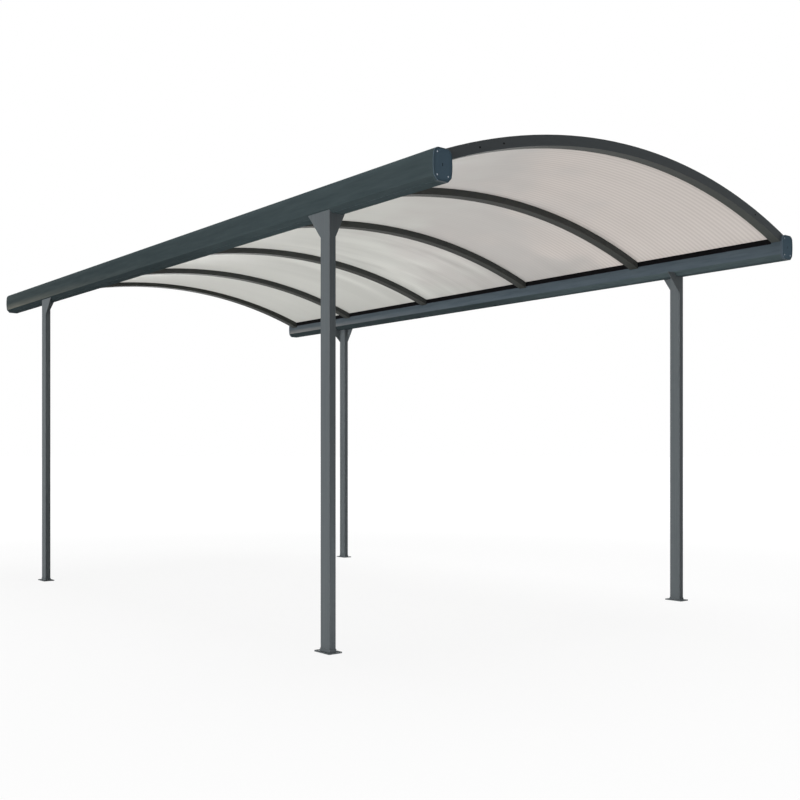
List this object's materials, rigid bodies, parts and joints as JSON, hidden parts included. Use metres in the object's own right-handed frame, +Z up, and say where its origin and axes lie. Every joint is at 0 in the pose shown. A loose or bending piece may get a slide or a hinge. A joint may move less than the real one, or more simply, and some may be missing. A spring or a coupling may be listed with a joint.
{
  "type": "arched-roof carport",
  "caption": "Free-standing carport with slim posts, barrel-shaped gutter beams and a vaulted roof of translucent twin-wall panels between bowed ribs.",
  "frame": {"origin": "middle of the footprint, on the ground under the foot plates", "axes": "+X across the width to the right, +Y along the length to the rear, +Z up"},
  "size_m": [2.882, 5, 2.4648],
  "materials": {
    "coated_aluminium": "anthracite powder coat, fine texture",
    "cap_moulding": "blue-grey moulded plastic",
    "seal_rubber": "black rubber",
    "roof_sheet": "translucent pale grey twin-wall polycarbonate"
  },
  "bodies": {
    "root": {"front_arch": "coated_aluminium", "front_arch_cover": "coated_aluminium", "front_left_foot": "coated_aluminium", "front_left_gutter_cap": "cap_moulding", "front_left_head_bracket": "coated_aluminium", "front_left_post": "coated_aluminium", "front_right_foot": "coated_aluminium", "front_right_gutter_cap": "cap_moulding", "front_right_head_bracket": "coated_aluminium", "front_right_post": "coated_aluminium", "left_eave_seal": "seal_rubber", "left_gutter": "coated_aluminium", "rear_arch": "coated_aluminium", "rear_arch_cover": "coated_aluminium", "rear_left_foot": "coated_aluminium", "rear_left_gutter_cap": "cap_moulding", "rear_left_head_bracket": "coated_aluminium", "rear_left_post": "coated_aluminium", "rear_right_foot": "coated_aluminium", "rear_right_gutter_cap": "cap_moulding", "rear_right_head_bracket": "coated_aluminium", "rear_right_post": "coated_aluminium", "rib_1": "coated_aluminium", "rib_2": "coated_aluminium", "rib_3": "coated_aluminium", "rib_4": "coated_aluminium", "rib_cover_1": "coated_aluminium", "rib_cover_2": "coated_aluminium", "rib_cover_3": "coated_aluminium", "rib_cover_4": "coated_aluminium", "right_eave_seal": "seal_rubber", "right_gutter": "coated_aluminium", "roof_panel_1": "roof_sheet", "roof_panel_2": "roof_sheet", "roof_panel_3": "roof_sheet", "roof_panel_4": "roof_sheet", "roof_panel_5": "roof_sheet"}
  },
  "joints": []
}
